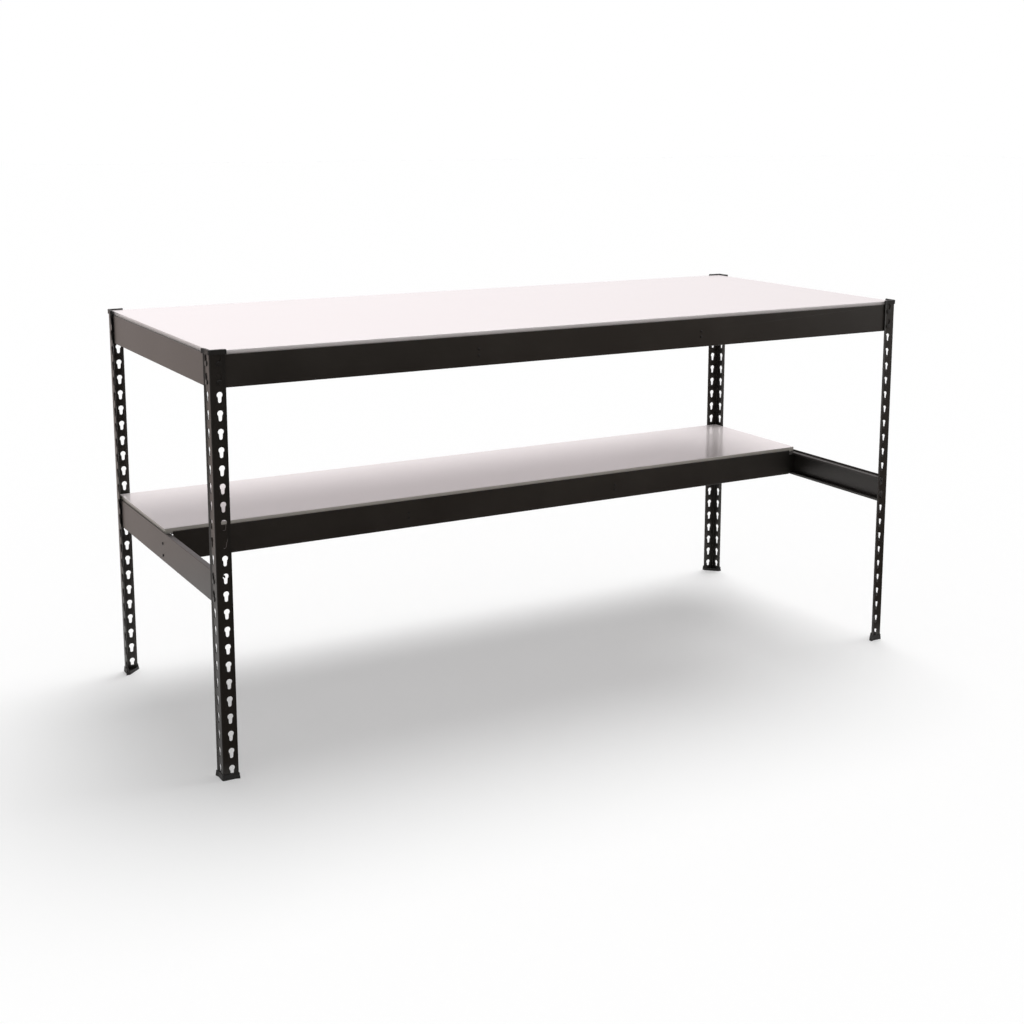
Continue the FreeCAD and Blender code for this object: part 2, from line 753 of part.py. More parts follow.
def make_bracket_nuts(side, inwards):
    """Two hexagon nuts on the bracket's screws, inside the side beam."""
    name = f"shelf_{side}_bracket_nuts"
    body = new_body(name, many=True)
    sketch = new_sketch(body, f"{name}_outline", "YZ_Plane")
    half_flats = size["nut_flats"] / 2
    corner_reach = half_flats / math.cos(math.pi / 6)
    height = size["bracket_screw_rise"]
    outline(sketch, [
        (half_flats, height - corner_reach / 2),
        (half_flats, height + corner_reach / 2),
        (ORIGIN, height + corner_reach),
        (-half_flats, height + corner_reach / 2),
        (-half_flats, height - corner_reach / 2),
        (ORIGIN, height - corner_reach),
    ])
    round_hole(sketch, ORIGIN, height, SCREW_HOLE)
    extrude(body, "Pad", f"{name}_first", sketch, size["nut_thickness"], reverse=inwards < 0)
    repeat_along(body, f"{name}_pair", "Z_Axis", size["bracket_screw_pitch"], 2)
    seat = WEB_INSIDE + size["bracket_sheet"]
    place(body, (seat - HALF_LENGTH) * inwards, BRACKET_SCREW_Y, LOWER_LEVEL)
    return body


# Tie bars under the boards. Each is drawn about its screws' line, with its length along Y about
# the middle and Z from the beams' bottom edge.

LEDGE_REACH = size["beam_width"] - size["beam_sheet"] + size["tie_play"]


def make_tie_bar(name, front_face, back_face, x, level):
    """A channel from one beam's web to another's, its ends passing under the ledges to bent tabs."""
    body = new_body(name)
    half = (back_face - front_face) / 2
    reach = half - LEDGE_REACH
    low = size["tie_rise"]
    under_return = LEDGE_RETURN - size["tie_play"]
    left = -size["tie_width"] / 2
    right = size["tie_width"] / 2
    sheet = size["tie_sheet"]
    plate = new_sketch(body, f"{name}_plate_outline", "YZ_Plane", left)
    outline(plate, [
        (-half, low), (half, low), (half, under_return), (reach, under_return),
        (reach, LEDGE), (-reach, LEDGE), (-reach, under_return), (-half, under_return),
    ])
    extrude(body, "Pad", f"{name}_plate", plate, sheet)
    flanges = new_sketch(body, f"{name}_flange_section", "XZ_Plane")
    rectangle(flanges, left, LEDGE - sheet, right, LEDGE)
    rectangle(flanges, left, low, right, low + sheet)
    extrude(body, "Pad", f"{name}_flanges", flanges, reach * 2, both_ways=True)
    for end, side in (("front", 1), ("back", -1)):
        tab = new_sketch(body, f"{name}_{end}_tab_outline", "XZ_Plane", half * side)
        rectangle(tab, left, low, right, low + size["tie_tab_height"])
        extrude(body, "Pad", f"{name}_{end}_tab", tab, sheet, reverse=side > 0)
    punched = new_sketch(body, f"{name}_hole_places", "XZ_Plane")
    for height in TIE_SCREW_HEIGHTS:
        round_hole(punched, ORIGIN, height, SCREW_HOLE)
    extrude(body, "Pocket", f"{name}_holes", punched, both_ways=True)
    place(body, x, (front_face + back_face) / 2, level)
    return body


def make_tie_screws(name, front_face, back_face, x, level):
    """Two screws at each end of a tie bar, from outside the beams' webs into its tabs."""
    body = new_body(name, many=True)
    half = (back_face - front_face) / 2 + size["beam_sheet"]
    grip = size["beam_sheet"] + size["tie_sheet"] + size["screw_tail"]
    sketch = new_sketch(body, f"{name}_profile", "YZ_Plane")
    turned(body, f"{name}_first", sketch, size["tie_screw_rise"], [
        (-half - size["screw_head_thickness"], -half, size["screw_head"] / 2, "start"),
        (-half, grip - half, size["screw_shank"] / 2, None),
    ])
    repeat_along(body, f"{name}_pair", "Z_Axis", size["tie_screw_pitch"], 2)
    mirror_whole(body, f"{name}_other_end", "XZ_Plane")
    place(body, x, (front_face + back_face) / 2, level)
    return body


def make_tie_bars():
    """The two tie bars and their screws at each level."""
    back_face = HALF_DEPTH - WEB_INSIDE
    levels = {
        "top": (-back_face, TOP_LEVEL),
        "shelf": (SHELF_BEAM_FACE + size["beam_sheet"], LOWER_LEVEL),
    }
    made = []
    for level_name, (front_face, level) in levels.items():
        for side, sign in (("left", -1), ("right", 1)):
            x = size["tie_offset"] * sign
            name = f"{level_name}_{side}_tie"
            made.append(make_tie_bar(f"{name}_bar", front_face, back_face, x, level))
            made.append(make_tie_screws(f"{name}_screws", front_face, back_face, x, level))
    return made


def make_board(name, front, level):
    """A laminated board on the beams' ledges, from its front edge to the back beam's lip."""
    body = new_body(name)
    half_length = HALF_LENGTH - BOARD_EDGE
    back = HALF_DEPTH - BOARD_EDGE
    face = new_sketch(body, f"{name}_outline", "XY_Plane")
    rectangle(face, -half_length, front, half_length, back)
    board = extrude(body, "Pad", f"{name}_board", face, size["board_thickness"])
    doc.recompute()
    rim = [f"Edge{number}" for number, edge in enumerate(board.Shape.Edges, start=1)
           if all(abs(vertex.Z - size["board_thickness"].value) < 1e-6 for vertex in edge.Vertexes)]
    eased = body.newObject("PartDesign::Chamfer", f"{name}_eased_edge")
    eased.Base = (board, rim)
    eased.Size = size["board_edge"].value
    eased.setExpression("Size", size["board_edge"].formula)
    body.Tip = eased
    place(body, 0, 0, level + LEDGE)
    return body


def make_table():
    """Every sub-part of the table, in the order it is put together."""
    made = []
    for corner in CORNERS:
        made += [make_foot(corner), make_post(corner), make_cap(corner)]
    made += make_hooked_beams("lower", LOWER_LEVEL, ("left", "right", "back"))
    made += make_hooked_beams("top", TOP_LEVEL, ("front", "right", "back", "left"))
    made.append(make_shelf_beam())
    for side, inwards in (("left", 1), ("right", -1)):
        made.append(make_bracket(side, inwards))
        made.append(make_bracket_screws(side, inwards))
        made.append(make_bracket_nuts(side, inwards))
    made += make_tie_bars()
    made.append(make_board("top_deck", BOARD_EDGE - HALF_DEPTH, TOP_LEVEL))
    made.append(make_board("shelf_deck", SHELF_FRONT, LOWER_LEVEL))
    return made


def check(bodies):
    """Stop if anything in the document failed, a cut removed nothing or a shape isn't sound."""
    for item in doc.Objects:
        if "Invalid" in item.State or "Error" in item.State:
            raise RuntimeError(f"{item.Label} failed: {item.State}")
        if item.TypeId == "PartDesign::Pocket":
            if item.Shape.Volume >= item.BaseFeature.Shape.Volume - 1e-3:
                raise RuntimeError(f"{item.Label} cuts nothing")
        if item.TypeId == "Sketcher::SketchObject" and not item.FullyConstrained:
            raise RuntimeError(f"{item.Label} isn't fully dimensioned")
    for body in bodies:
        if body.Shape.isNull() or not body.Shape.isValid():
            raise RuntimeError(f"{body.Label} has no sound shape")


def write(bodies):
    """Write each sub-part to its own STEP file, named by its label."""
    os.makedirs("parts", exist_ok=True)
    for body in bodies:
        body.Shape.exportStep(f"parts/{body.Label}.step")
        print(f"{body.Label}: {len(body.Shape.Solids)} solid(s), {body.Shape.Volume:.1f} mm3")


table = make_table()
doc.recompute()
check(table)
write(table)
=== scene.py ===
"""Looks of a boltless assembly table: keyholed posts, rolled beams, a white top and a half shelf.

Every length is in metres in the CAD frame: X along the table, Y from the open front to the back,
Z up.
"""

import logging
import math
from dataclasses import dataclass, field
from enum import Enum
from typing import Any, Mapping, Optional, Sequence, Union

import bpy
import numpy as np
from mathutils import Matrix, Vector


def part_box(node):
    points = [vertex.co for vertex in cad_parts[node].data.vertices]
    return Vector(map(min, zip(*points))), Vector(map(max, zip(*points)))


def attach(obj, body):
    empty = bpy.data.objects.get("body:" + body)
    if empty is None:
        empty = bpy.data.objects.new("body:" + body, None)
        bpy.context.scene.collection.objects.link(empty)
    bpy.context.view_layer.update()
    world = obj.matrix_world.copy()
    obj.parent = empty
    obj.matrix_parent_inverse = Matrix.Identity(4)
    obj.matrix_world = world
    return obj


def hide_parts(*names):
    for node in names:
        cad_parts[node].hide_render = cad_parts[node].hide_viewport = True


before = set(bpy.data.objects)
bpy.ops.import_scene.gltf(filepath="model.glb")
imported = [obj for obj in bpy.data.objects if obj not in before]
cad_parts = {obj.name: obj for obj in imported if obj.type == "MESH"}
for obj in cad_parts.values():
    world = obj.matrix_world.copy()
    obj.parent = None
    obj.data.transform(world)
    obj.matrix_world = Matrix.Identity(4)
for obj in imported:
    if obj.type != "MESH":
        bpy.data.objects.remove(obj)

LOG = logging.getLogger("assembly_table")
MM = 0.001
QUAD = 4
BEVEL_RAYS = 6
EDGE_GAIN = 4.0
WHITE = (1.0, 1.0, 1.0, 1.0)
Colour = tuple[float, float, float]


# ---------------------------------------------------------------------------------------------
# Shader maths


class Shade:
    """An output of a shader node, on which Python's operators add Math nodes."""

    def __init__(self, tree: "Tree", socket: bpy.types.NodeSocket) -> None:
        """Keep the socket with the tree that it belongs to."""
        self.tree = tree
        self.socket = socket

    def other(self, name: str) -> "Shade":
        """Another output of the same node, by its name."""
        return Shade(self.tree, self.socket.node.outputs[name])

    def maths(self, operation: str, *terms: "Term") -> "Shade":
        """A Math node's result.

        Args:
            operation: The Math node's operation.
            *terms: The operands in order, as numbers or as outputs.

        Returns:
            The node's output.
        """
        return self.tree.node("ShaderNodeMath", {"operation": operation}, dict(enumerate(terms)))

    def __add__(self, term: "Term") -> "Shade":
        """This plus a term."""
        return self.maths("ADD", self, term)

    def __sub__(self, term: "Term") -> "Shade":
        """This less a term."""
        return self.maths("SUBTRACT", self, term)

    def __rsub__(self, term: "Term") -> "Shade":
        """A term less this."""
        return self.maths("SUBTRACT", term, self)

    def __mul__(self, term: "Term") -> "Shade":
        """This times a term."""
        return self.maths("MULTIPLY", self, term)

    __radd__ = __add__

    def sine(self) -> "Shade":
        """The sine of this."""
        return self.maths("SINE", self)

    def clamped(self) -> "Shade":
        """This, kept between 0 and 1."""
        return self.tree.node("ShaderNodeClamp", {}, {"Value": self})

    def above(self, start: float, slope: float) -> "Shade":
        """0 up to a start, then rising to 1 at this slope."""
        return ((self - start) * slope).clamped()


Term = Union[float, Shade]


class Tree:
    """The nodes of one material or of the world, all made by one method."""

    def __init__(self, owner: Union[bpy.types.Material, bpy.types.World]) -> None:
        """Take the owner's node tree and empty it.

        Args:
            owner: The material or world that the nodes belong to.
        """
        owner.use_nodes = True
        self.nodes = owner.node_tree.nodes
        self.links = owner.node_tree.links
        self.nodes.clear()

    def node(self, kind: str, settings: Optional[Mapping[str, Any]] = None,
             sockets: Optional[Mapping[Union[str, int], Any]] = None) -> Shade:
        """Make a node.

        Args:
            kind: The node's type, such as ShaderNodeTexNoise.
            settings: Its properties, set before its inputs.
            sockets: Values or outputs for its inputs, by name or by number.

        Returns:
            Its first output that is in use, or a stand-in for an output node's first input.
        """
        made = self.nodes.new(kind)
        for name, value in (settings or {}).items():
            setattr(made, name, value)
        for key, value in (sockets or {}).items():
            if isinstance(value, Shade):
                self.links.new(value.socket, made.inputs[key])
            else:
                made.inputs[key].default_value = value
        shown = [output for output in made.outputs if output.enabled]
        return Shade(self, shown[0] if shown else made.inputs[0])

    def place(self) -> Shade:
        """The point on the object, in the CAD frame."""
        return self.node("ShaderNodeTexCoord").other("Object")

    def noise(self, place: Shade, size: float, detail: float = 2.0) -> Shade:
        """Smooth noise from 0 to 1.

        Args:
            place: The point it is read at.
            size: The width of one cell, in metres.
            detail: The number of finer layers on top.

        Returns:
            The noise's value.
        """
        return self.node("ShaderNodeTexNoise", {}, {
            "Vector": place, "Scale": 1 / size, "Detail": detail,
        })

    def scaled(self, place: Shade, factors: Colour) -> Shade:
        """The point with each of its coordinates times a factor."""
        return self.node("ShaderNodeMapping", {}, {"Vector": place, "Scale": factors})

    def blend(self, share: Term, first: Union[Colour, Shade],
              second: Union[Colour, Shade]) -> Shade:
        """A colour between two others.

        Args:
            share: 0 for the first colour and 1 for the second.
            first: A colour, or an output that gives one.
            second: A colour, or an output that gives one.

        Returns:
            The mixed colour.
        """
        first, second = (c if isinstance(c, Shade) else (*c, 1.0) for c in (first, second))
        return self.node("ShaderNodeMix", {"data_type": "RGBA"}, {0: share, 6: first, 7: second})

    def soft_edges(self, radius: float) -> Shade:
        """The surface's normal, turned smoothly over sharp edges within a radius in metres."""
        return self.node("ShaderNodeBevel", {"samples": BEVEL_RAYS}, {"Radius": radius})

    def edge_mask(self, softened: Shade) -> Shade:
        """0 on open surfaces, rising to 1 at a sharp edge.

        It is 1 less the cosine of the angle that the softened normal has turned by, times a gain.
        """
        facing = self.node("ShaderNodeNewGeometry").other("Normal")
        straight = self.node("ShaderNodeVectorMath", {"operation": "DOT_PRODUCT"},
                             {0: softened, 1: facing})
        return ((1 - straight.other("Value")) * EDGE_GAIN).clamped()

    def relief(self, height: Shade, depth: float, normal: Shade) -> Shade:
        """A normal that shows a height map of this depth in metres."""
        return self.node("ShaderNodeBump", {}, {
            "Height": height, "Strength": 1.0, "Distance": depth, "Normal": normal,
        })

    def finish(self, shader: Shade) -> None:
        """Send a shader to the material's output."""
        self.node("ShaderNodeOutputMaterial", {}, {"Surface": shader})

    def principled(self, sockets: Mapping[str, Any]) -> None:
        """Finish the material with a Principled shader whose inputs are these."""
        self.finish(self.node("ShaderNodeBsdfPrincipled", {}, sockets))


# ---------------------------------------------------------------------------------------------
# Finishes


class Along(Enum):
    """The way a rolled or cut piece runs; the value squeezes a pattern into lines along it."""

    X = (0.015, 1.0, 1.0)
    Y = (1.0, 0.015, 1.0)
    Z = (1.0, 1.0, 0.015)


@dataclass(frozen=True)
class PowderCoat:
    """Semi-gloss powder coat over rolled steel: orange peel, faint roll lines and rubbed edges."""

    colour: Colour = (0.0112, 0.0102, 0.0088)
    lighter: Colour = (0.0175, 0.0162, 0.0142)
    worn: Colour = (0.038, 0.034, 0.031)
    rolled: Colour = (0.036, 0.032, 0.028)
    sheen: Colour = (1.0, 0.94, 0.90)
    roughness: float = 0.34
    cloud: float = 180 * MM
    peel: float = 1.6 * MM
    peel_depth: float = 0.02 * MM
    grain: float = 0.5 * MM
    line_pitch: float = 2.7 * MM
    edge: float = 0.5 * MM

    def material(self, name: str, along: Along, lines: float, marks: float) -> bpy.types.Material:
        """Make the material.

        Args:
            name: Its name.
            along: The way the steel was rolled.
            lines: How plainly the fine roll lines show, from 0 to 1.
            marks: How plainly the rolls' level ripples show in patches, from 0 to 1.

        Returns:
            The material.
        """
        made = bpy.data.materials.new(name)
        tree = Tree(made)
        place = tree.place()
        cloud = tree.noise(place, self.cloud, 3.0)
        peel = tree.noise(place, self.peel, 2.0)
        grain = tree.noise(place, self.grain, 1.0)
        rolled = tree.noise(tree.scaled(place, along.value), self.line_pitch, 2.0)
        speck = grain.above(0.62, 9.0)
        softened = tree.soft_edges(self.edge)
        edge = tree.edge_mask(softened)
        body = tree.blend(cloud * 0.7 + rolled * lines, self.colour, self.lighter)
        level = tree.node("ShaderNodeSeparateXYZ", {}, {"Vector": place}).other("Z")
        ripple = (level * (2 * math.pi / self.line_pitch)).sine() * 0.5 + 0.5
        marked = tree.blend(ripple * cloud.above(0.42, 5.0) * marks, body, self.rolled)
        flecked = tree.blend(speck * 0.25, marked, self.worn)
        rubbed = tree.blend(edge * (0.25 + cloud * 0.5), flecked, self.worn)
        height = peel * (1.0 - lines * 0.5) + rolled * lines
        tree.principled({
            "Base Color": rubbed,
            "Roughness": self.roughness + peel * 0.08 + cloud * 0.06,
            "IOR": 1.52,
            "Specular Tint": (*self.sheen, 1.0),
            "Normal": tree.relief(height, self.peel_depth, softened),
        })
        return made


@dataclass(frozen=True)
class CoatedFastener:
    """Thin dark coating on rivets and screws, rubbed a little in small random patches."""

    colour: Colour = (0.0115, 0.0102, 0.0092)
    worn: Colour = (0.034, 0.031, 0.028)
    roughness: float = 0.36
    fine: float = 0.6 * MM
    fine_depth: float = 0.015 * MM
    patch: float = 3.0 * MM
    edge: float = 0.2 * MM

    def material(self, name: str) -> bpy.types.Material:
        """Make the material with this name."""
        made = bpy.data.materials.new(name)
        tree = Tree(made)
        place = tree.place()
        fine = tree.noise(place, self.fine, 2.0)
        patch = tree.noise(place, self.patch, 3.0)
        rubbed = patch.above(0.55, 4.0)
        tree.principled({
            "Base Color": tree.blend(rubbed * 0.35, self.colour, self.worn),
            "Roughness": self.roughness + fine * 0.12,
            "Metallic": rubbed * 0.2,
            "Normal": tree.relief(fine, self.fine_depth, tree.soft_edges(self.edge)),
        })
        return made


@dataclass(frozen=True)
class MouldedPlastic:
    """Black moulded plastic with a fine spark-eroded grain."""

    colour: Colour = (0.0098, 0.0086, 0.0078)
    greyer: Colour = (0.019, 0.0168, 0.0150)
    roughness: float = 0.50
    grain: float = 0.35 * MM
    grain_depth: float = 0.03 * MM
    cloud: float = 12 * MM
    edge: float = 0.6 * MM

    def material(self, name: str) -> bpy.types.Material:
        """Make the material with this name."""
        made = bpy.data.materials.new(name)
        tree = Tree(made)
        place = tree.place()
        grain = tree.noise(place, self.grain, 2.0)
        cloud = tree.noise(place, self.cloud, 2.0)
        softened = tree.soft_edges(self.edge)
        edge = tree.edge_mask(softened)
        tree.principled({
            "Base Color": tree.blend(cloud * 0.5 + edge * 0.4, self.colour, self.greyer),
            "Roughness": self.roughness + grain * 0.14,
            "Normal": tree.relief(grain, self.grain_depth, softened),
        })
        return made


@dataclass(frozen=True)
class Laminate:
    """White melamine face: a satin shine, a faint pearl grain and a very slow unevenness."""

    colour: Colour = (0.890, 0.835, 0.835)
    warmer: Colour = (0.865, 0.805, 0.798)
    roughness: float = 0.13
    pearl: float = 1.2 * MM
    mottle: float = 9 * MM
    swell: float = 260 * MM
    swell_depth: float = 0.15 * MM
    edge: float = 0.3 * MM

    def material(self, name: str) -> bpy.types.Material:
        """Make the material with this name."""
        made = bpy.data.materials.new(name)
        tree = Tree(made)
        place = tree.place()
        pearl = tree.noise(place, self.pearl, 2.0)
        mottle = tree.noise(place, self.mottle, 3.0)
        swell = tree.noise(place, self.swell, 1.0)
        height = swell + pearl * 0.02
        tree.principled({
            "Base Color": tree.blend(mottle * 0.5 + swell * 0.5, self.colour, self.warmer),
            "Roughness": self.roughness + pearl * 0.05 + mottle * 0.03,
            "Normal": tree.relief(height, self.swell_depth, tree.soft_edges(self.edge)),
        })
        return made


@dataclass(frozen=True)
class EdgeBand:
    """Pressed edge band in a warm grey, with fine streaks along the board and small dark flecks."""

    colour: Colour = (0.560, 0.525, 0.475)
    darker: Colour = (0.430, 0.395, 0.350)
    roughness: float = 0.45
    streak: float = 1.5 * MM
    streak_depth: float = 0.05 * MM
    fleck: float = 2.2 * MM
    edge: float = 0.3 * MM

    def material(self, name: str) -> bpy.types.Material:
        """Make the material with this name."""
        made = bpy.data.materials.new(name)
        tree = Tree(made)
        place = tree.place()
        streak = tree.noise(tree.scaled(place, Along.X.value), self.streak, 3.0)
        fleck = tree.noise(place, self.fleck, 2.0).above(0.58, 6.0)
        tree.principled({
            "Base Color": tree.blend(streak * 0.5 + fleck * 0.5, self.colour, self.darker),
            "Roughness": self.roughness + streak * 0.15,
            "Normal": tree.relief(streak, self.streak_depth, tree.soft_edges(self.edge)),
        })
        return made


# ---------------------------------------------------------------------------------------------
# Surfaces


@dataclass
class Surface:
    """Points and faces of a mesh, with the material number of each face."""

    points: np.ndarray
    faces: list[tuple[int, ...]]
    finishes: list[int]

    def piece(self, name: str, materials: Sequence[bpy.types.Material],
              smooth_below: float) -> bpy.types.Object:
        """Make an object whose place is in its mesh.

        Args:
            name: The object's name.
            materials: The materials that the faces' numbers stand for.
            smooth_below: The angle in degrees under which two faces shade as one curve; a flat end
                of more than four corners always shades flat.

        Returns:
            The object, linked to the scene.
        """
        mesh = bpy.data.meshes.new(name)
        mesh.from_pydata(self.points, [], self.faces)
        for material in materials:
            mesh.materials.append(material)
        mesh.polygons.foreach_set("material_index", self.finishes)
        mesh.shade_smooth()
        mesh.set_sharp_from_angle(angle=math.radians(smooth_below))
        mesh.polygons.foreach_set("use_smooth", [len(face) <= QUAD for face in self.faces])
        mesh.update()
        made = bpy.data.objects.new(name, mesh)
        bpy.context.scene.collection.objects.link(made)
        return made


def ring_quads(rings: int, around: int, first: int) -> np.ndarray:
    """The quads between neighbouring rings of points.

    Args:
        rings: The number of rings.
        around: The number of points on each.
        first: The number of the lowest ring's first point.

    Returns:
        The numbers of each quad's four corners, one row each, facing outwards.
    """
    turn = np.arange(around)
    following = (turn + 1) % around
    row = first + np.arange(rings - 1)[:, None] * around
    corners = [row + turn, row + following, row + around + following, row + around + turn]
    return np.stack(corners, -1).reshape(-1, QUAD)


def lathe(profile: np.ndarray, centres: np.ndarray, axis: np.ndarray, around: int = 32) -> Surface:
    """Turn a profile about an axis at several centres.

    A point is the centre, plus the axis times the profile's reach, plus the profile's radius times
    the unit circle across the axis. The first and last points of the profile are the poles.

    Args:
        profile: Rows of (reach along the axis, radius), the first and last with radius 0.
        centres: One row for each copy, the place where the reach is 0.
        axis: Unit vector along which the reach grows.
        around: The number of points on each ring.

    Returns:
        The surface, closed and facing outwards.
    """
    across = np.eye(3)[(np.abs(axis).argmax() + 1) % 3]
    up = np.cross(axis, across)
    angle = np.linspace(0, 2 * math.pi, around, endpoint=False)
    circle = np.cos(angle)[:, None] * across + np.sin(angle)[:, None] * up
    rings = profile[1:-1, 0, None, None] * axis + profile[1:-1, 1, None, None] * circle
    poles = profile[[0, -1], 0, None] * axis
    one = np.vstack([poles[:1], rings.reshape(-1, 3), poles[1:]])
    points = (centres[:, None, :] + one).reshape(-1, 3)

    quads = ring_quads(len(profile) - 2, around, 1)
    turn = np.arange(around)
    following = (turn + 1) % around
    last = len(one) - 1
    start = np.stack([0 * turn, 1 + following, 1 + turn], -1)
    finish = np.stack([0 * turn + last, last - around + turn, last - around + following], -1)
    shift = np.arange(len(centres))[:, None, None] * len(one)
    faces = [tuple(face) for block in (quads, start, finish)
             for face in (shift + block).reshape(-1, block.shape[-1]).tolist()]
    return Surface(points, faces, [0] * len(faces))


def rounded_rectangle(low: np.ndarray, high: np.ndarray, radius: float,
                      each: int) -> tuple[np.ndarray, np.ndarray]:
    """A rectangle's outline with quarter circles at its corners, anticlockwise from above.

    A point is the nearest corner's centre plus the radius times the outward direction, whose angle
    grows by a quarter turn at each corner.

    Args:
        low: The lowest x and y.
        high: The highest x and y.
        radius: The corners' radius.
        each: The number of points on a corner.

    Returns:
        The points and the outward directions, one row each.
    """
    sides = np.array([[1, 1], [0, 1], [0, 0], [1, 0]])
    corners = np.where(sides == 1, high - radius, low + radius)
    angle = (np.arange(4)[:, None] + np.linspace(0, 1, each)) * (math.pi / 2)
    outward = np.stack([np.cos(angle), np.sin(angle)], -1)
    return (corners[:, None] + radius * outward).reshape(-1, 2), outward.reshape(-1, 2)


def stacked(outline: np.ndarray, outward: np.ndarray, section: np.ndarray,
            finishes: Sequence[int]) -> Surface:
    """Carry a section round an outline and close it below and above.

    A point is the outline's point moved in by the section's inset, at the section's height.

    Args:
        outline: The outline's points, anticlockwise from above.
        outward: The outward direction at each of them.
        section: Rows of (inset, height), from the underside to the top.
        finishes: A material number for each band between two rows, then the underside's and the
            top's.

    Returns:
        The surface, closed and facing outwards.
    """
    count = len(outline)
    flat = outline - section[:, 0, None, None] * outward
    heights = np.broadcast_to(section[:, 1, None, None], (len(section), count, 1))
    points = np.concatenate([flat, heights], -1).reshape(-1, 3)
    turn = np.arange(count)
    top = (len(section) - 1) * count + turn
    faces = [tuple(face) for face in ring_quads(len(section), count, 0).tolist()]
    faces += [tuple(turn[::-1].tolist()), tuple(top.tolist())]
    bands = np.repeat(np.array(finishes[:-2]), count).tolist()
    return Surface(points, faces, bands + [finishes[-2], finishes[-1]])


# ---------------------------------------------------------------------------------------------
# Sub-assemblies


@dataclass
class Finishes:
    """The materials that the sub-assemblies share."""

    coat: PowderCoat = field(default_factory=PowderCoat)
    steel: dict[Along, bpy.types.Material] = field(default_factory=dict)

    def __post_init__(self) -> None:
        """Make each material once."""
        lines_and_marks = {Along.X: (0.45, 0.6), Along.Y: (0.3, 0.3), Along.Z: (0.2, 0.0)}
        for along, (lines, marks) in lines_and_marks.items():
            name = f"powder_coat_along_{along.name.lower()}"
            self.steel[along] = self.coat.material(name, along, lines, marks)
        self.fastener = CoatedFastener().material("coated_fastener")
        self.plastic = MouldedPlastic().material("moulded_plastic")
        self.laminate = Laminate().material("white_laminate_face")


def dress(node: str, material: bpy.types.Material) -> None:
    """Give a CAD node a material in place of its own."""
    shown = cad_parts[node]
    if not shown.material_slots:
        shown.data.materials.append(material)
    for place in shown.material_slots:
        place.material = material
    LOG.info("%s: dressed in %s", node, material.name)


def stand_in(piece: bpy.types.Object, node: str) -> None:
    """Let a finished piece ride on the table and stand for a CAD node.

    Args:
        piece: The finished piece.
        node: The CAD node that it replaces.
    """
    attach(piece, "root")
    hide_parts(node)
    LOG.info("%s: made for %s", piece.name, node)


def corners_of(node: str) -> tuple[np.ndarray, np.ndarray]:
    """Lowest and highest corner of a CAD node."""
    low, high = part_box(node)
    return np.array(low), np.array(high)


@dataclass
class Posts:
    """The four angle posts with their plastic caps and feet, whose CAD shapes stay."""

    finishes: Finishes
    corners: tuple[str, ...] = ("front_left", "front_right", "back_right", "back_left")

    def build(self) -> None:
        """Dress each post, cap and foot."""
        for corner in self.corners:
            dress(f"{corner}_post", self.finishes.steel[Along.Z])
            dress(f"{corner}_cap", self.finishes.plastic)
            dress(f"{corner}_foot", self.finishes.plastic)


class Side(Enum):
    """A side of the table; the value points from outside to the inside."""

    FRONT = (0.0, 1.0, 0.0)
    BACK = (0.0, -1.0, 0.0)
    LEFT = (1.0, 0.0, 0.0)
    RIGHT = (-1.0, 0.0, 0.0)

    @property
    def inwards(self) -> np.ndarray:
        """The direction into the table."""
        return np.array(self.value)

    @property
    def depth(self) -> int:
        """The number of the axis that runs into the table."""
        return int(np.abs(self.inwards).argmax())

    @property
    def along(self) -> Along:
        """The way that a beam on this side runs."""
        return Along.X if self.depth == 1 else Along.Y


